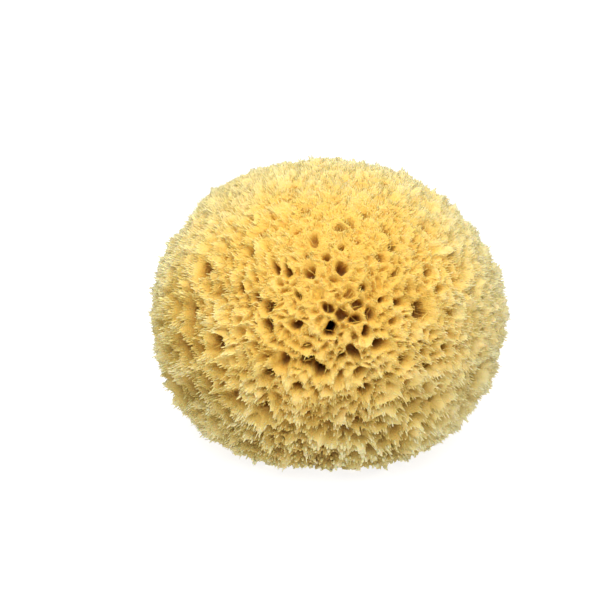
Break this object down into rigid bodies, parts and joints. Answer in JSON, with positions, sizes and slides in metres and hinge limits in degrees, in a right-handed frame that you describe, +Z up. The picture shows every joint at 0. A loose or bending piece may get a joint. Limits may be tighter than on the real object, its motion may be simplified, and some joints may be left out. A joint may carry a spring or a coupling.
{
  "type": "sea sponge",
  "caption": "Rounded natural wool sponge with pointed tufts all over, open oscule holes and a flat cut base to rest on.",
  "frame": {"origin": "middle of the flat cut face that the sponge rests on", "axes": "+Z up out of the cut face, X along the widest side, -Y towards the side with the most oscules"},
  "size_m": [0.1406, 0.1275, 0.1073],
  "materials": {
    "sponge_fibre": "matt, soft and fibrous, paler at the tips of the tufts and orange brown in the holes"
  },
  "bodies": {
    "root": {"sponge": "sponge_fibre"}
  },
  "joints": []
}
